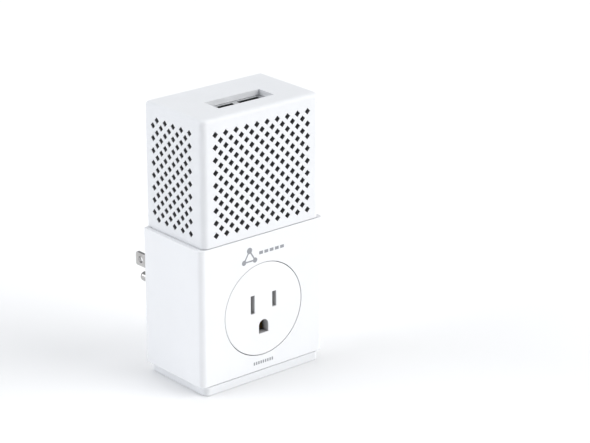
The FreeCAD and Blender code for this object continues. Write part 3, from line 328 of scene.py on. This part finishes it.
def wrapped(name, colour, roughness=0.3):
    """Shrink sleeve, tape or dip coating: smooth with soft folds, whose hollows are painted darker as
    painted shade.
    """
    shader = Shader(name, colour, roughness, Coat_Weight=0.2)
    fold = shader.noise(320, 3)
    darker = tuple(channel * 0.8 for channel in colour)
    # Painted shade: the tint follows the fold relief and darkens its hollows.
    shader.tint(shader.blend(shader.spread(fold, 0, 1), darker, colour))
    shader.relief(fold, 0.0001, 0.25)
    return shader.material


def label_film(name):
    """Matt silver label film."""
    shader = Shader(name, (0.62, 0.63, 0.65), 0.38, Metallic=0.35)
    lines = shader.noise(1300, 2, 0.5, (0.05, 1, 1))
    shader.tint(shader.blend(shader.spread(lines, 0, 1), (0.60, 0.61, 0.63), (0.68, 0.69, 0.71)))
    shader.relief(lines, 0.00001, 0.2)
    return shader.material


def print_ink(name, colour):
    """Pad-printed ink: a thin film, slightly uneven."""
    shader = Shader(name, colour, 0.4)
    patch = shader.noise(1200, 3)
    lighter = tuple(min(1.0, channel * 1.12) for channel in colour)
    shader.tint(shader.blend(shader.spread(patch, 0, 1), colour, lighter))
    return shader.material


def make_materials():
    return {
        "sleeve_white": glossy_white("gloss_white_abs"),
        # The outlet's slot walls take this grey as painted shade.
        "outlet_white": glossy_white("outlet_white_nylon", (0.845, 0.850, 0.862), (0.54, 0.54, 0.55)),
        # The cover's hole walls and inside take this grey as painted shade.
        "cover_white": satin_white("satin_white_abs", painted_shade=(0.20, 0.20, 0.205)),
        "rear_white": satin_white("rear_white_abs", (0.84, 0.845, 0.855), 2000),
        "key_white": satin_white("key_white_abs", (0.82, 0.825, 0.835), 3000),
        "socket_nylon": moulded_dark("grey_nylon", (0.34, 0.34, 0.35), 0.5),
        "liner_black": dark_sheet("insulating_sheet"),
        "label_silver": label_film("label_film"),
        "nickel": bright_metal("nickel_plate", (0.56, 0.55, 0.54), 0.17, (1, 0.08, 1)),
        "brass": bright_metal("stamped_brass", (0.82, 0.62, 0.30), 0.28),
        "jack_black": moulded_dark("jack_black_plastic", (0.018, 0.018, 0.02), 0.4),
        "jack_steel": bright_metal("tinned_steel", (0.66, 0.67, 0.68), 0.34, (0.1, 1, 1)),
        "gold_wire": bright_metal("gold_wire", (0.95, 0.74, 0.32), 0.2),
        "board_green": circuit_board("circuit_board"),
        "chip_black": moulded_dark("chip_epoxy", (0.03, 0.03, 0.032), 0.55),
        "sink_aluminium": bright_metal("extruded_aluminium", (0.74, 0.75, 0.76), 0.35, (1, 1, 0.06)),
        "lamp_clear": clear_plastic("clear_acrylic"),
        "ferrite": moulded_dark("ferrite", (0.07, 0.07, 0.075), 0.6),
        "winding_tape": wrapped("winding_tape", (0.80, 0.62, 0.10)),
        "capacitor_sleeve": wrapped("capacitor_sleeve", (0.03, 0.04, 0.10)),
        "film_box": wrapped("film_capacitor_box", (0.75, 0.60, 0.12), 0.45),
        "fuse_sleeve": wrapped("fuse_sleeve", (0.42, 0.33, 0.20), 0.5),
        "varistor_blue": wrapped("varistor_dip", (0.05, 0.16, 0.48)),
        "screw_steel": bright_metal("zinc_plated_steel", (0.62, 0.62, 0.63), 0.3),
    }


MATERIALS = make_materials()


def dress_cad_nodes():
    """Give every CAD node the material its record slot names."""
    slots = {part["node"]: part["material_slot"] for part in frame["record"]["subparts"]}
    for node, item in NODES.items():
        material = MATERIALS[slots[node]]
        item.data.materials.clear()
        item.data.materials.append(material)


# ---------------------------------------------------------------- printed marks

def flat_piece(name, outlines, height, material):
    """Thin printed shapes on the sleeve's front: outlines are lists of (x, z) in metres."""
    mesh = bmesh.new()
    front = SLEEVE_LOW.y
    for outline in outlines:
        ring = [mesh.verts.new((x, front, z)) for x, z in outline]
        face = mesh.faces.new(ring)
        lifted = bmesh.ops.extrude_face_region(mesh, geom=[face])
        for item in lifted["geom"]:
            if isinstance(item, bmesh.types.BMVert):
                item.co.y -= height
    bmesh.ops.recalc_face_normals(mesh, faces=mesh.faces)
    data = bpy.data.meshes.new(name)
    mesh.to_mesh(data)
    mesh.free()
    piece = bpy.data.objects.new(name, data)
    bpy.context.scene.collection.objects.link(piece)
    data.materials.append(material)
    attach(piece, "case")


def disc(x, z, radius, count=28):
    """The outline of a round dot."""
    turns = [2 * math.pi / count * index for index in range(count)]
    return [(x + radius * math.cos(turn), z + radius * math.sin(turn)) for turn in turns]


def bar(start, end, width):
    """A straight bar between two (x, z) points."""
    along = (Vector(end) - Vector(start)).normalized()
    side = Vector((-along.y, along.x)) * width / 2
    corners = (Vector(start) + side, Vector(start) - side, Vector(end) - side, Vector(end) + side)
    return [tuple(corner) for corner in corners]


def row_of_bars(left, right, z, count, share):
    """Evenly spaced short upright bars, each filling its share of the pitch."""
    pitch = (right - left) / count
    rows = []
    for index in range(count):
        start = left + index * pitch
        rows.append(bar((start, z), (start + pitch * share, z), BAR_HEIGHT))
    return rows


def printed_marks():
    """Generic marks: three joined nodes with a row of dashes above the outlet, small ticks below it."""
    ink = print_ink("grey_ink", INK)
    middle = FACE_HIGH.z + MARK_RISE
    low_left = (MARK_X - MARK_HALF, middle - MARK_BELOW)
    low_right = (MARK_X + MARK_HALF, middle - MARK_BELOW)
    top = (MARK_X, middle + MARK_ABOVE)
    nodes = [disc(*low_left, NODE_RADIUS), disc(*low_right, NODE_RADIUS), disc(*top, TOP_NODE_RADIUS)]
    flat_piece("mark_nodes", nodes, INK_HEIGHT, ink)
    pairs = ((low_left, top), (top, low_right), (low_left, low_right))
    links = [bar(start, end, LINK_WIDTH) for start, end in pairs]
    flat_piece("mark_links", links, LINK_HEIGHT, ink)
    dashes = row_of_bars(*DASH_SPAN, middle + DASH_RISE, DASH_COUNT, DASH_SHARE)
    flat_piece("mark_dashes", dashes, INK_HEIGHT, ink)
    ticks = row_of_bars(*TICK_SPAN, SLEEVE_LOW.z + TICK_RISE, TICK_COUNT, TICK_SHARE)
    flat_piece("mark_ticks", ticks, INK_HEIGHT, ink)


# ---------------------------------------------------------------- stage

def plain_paper(name):
    shader = Shader(name, PAPER, 0.85, Specular_IOR_Level=0.2)
    shade = shader.noise(3, 2)
    darker = tuple(channel * 0.995 for channel in PAPER)
    shader.tint(shader.blend(shader.spread(shade, 0, 1), darker, PAPER))
    return shader.material


def make_stage():
    """A large pale floor, just under the plinth."""
    bpy.ops.mesh.primitive_plane_add(size=FLOOR_SIZE, location=(0, 0, CAD_LOW.z - FLOOR_GAP))
    floor = bpy.context.object
    floor.name = "floor"
    floor.data.materials.append(plain_paper("pale_paper"))


def soft_sun(name, place, strength, colour):
    """A wide, even light from one side, as from a big softbox far away."""
    data = bpy.data.lights.new(name, "SUN")
    data.angle = SUN_SPREAD
    data.energy = strength
    data.color = colour
    lamp = bpy.data.objects.new(name, data)
    bpy.context.scene.collection.objects.link(lamp)
    lamp.location = place
    lamp.rotation_euler = (-Vector(place)).to_track_quat("-Z", "Y").to_euler()


def make_lights():
    world = bpy.data.worlds.new("studio")
    bpy.context.scene.world = world
    world.use_nodes = True
    background = world.node_tree.nodes["Background"]
    background.inputs["Color"].default_value = (*SKY, 1.0)
    background.inputs["Strength"].default_value = SKY_STRENGTH
    for sun in SUNS:
        soft_sun(*sun)


def make_camera():
    data = bpy.data.cameras.new("camera")
    data.lens = CAMERA_LENS
    data.sensor_width = CAMERA_SENSOR
    data.clip_start = CAMERA_NEAR
    data.clip_end = CAMERA_FAR
    camera = bpy.data.objects.new("camera", data)
    bpy.context.scene.collection.objects.link(camera)
    camera.location = CAMERA_PLACE
    camera.rotation_euler = (math.pi / 2 - CAMERA_DROP, 0, -CAMERA_TURN)
    bpy.context.scene.camera = camera


def set_look():
    scene = bpy.context.scene
    scene.view_settings.view_transform = "Standard"
    scene.view_settings.look = "None"
    scene.view_settings.exposure = 0.0
    scene.view_settings.gamma = 1.0


dress_cad_nodes()
printed_marks()
make_stage()
make_lights()
make_camera()
set_look()
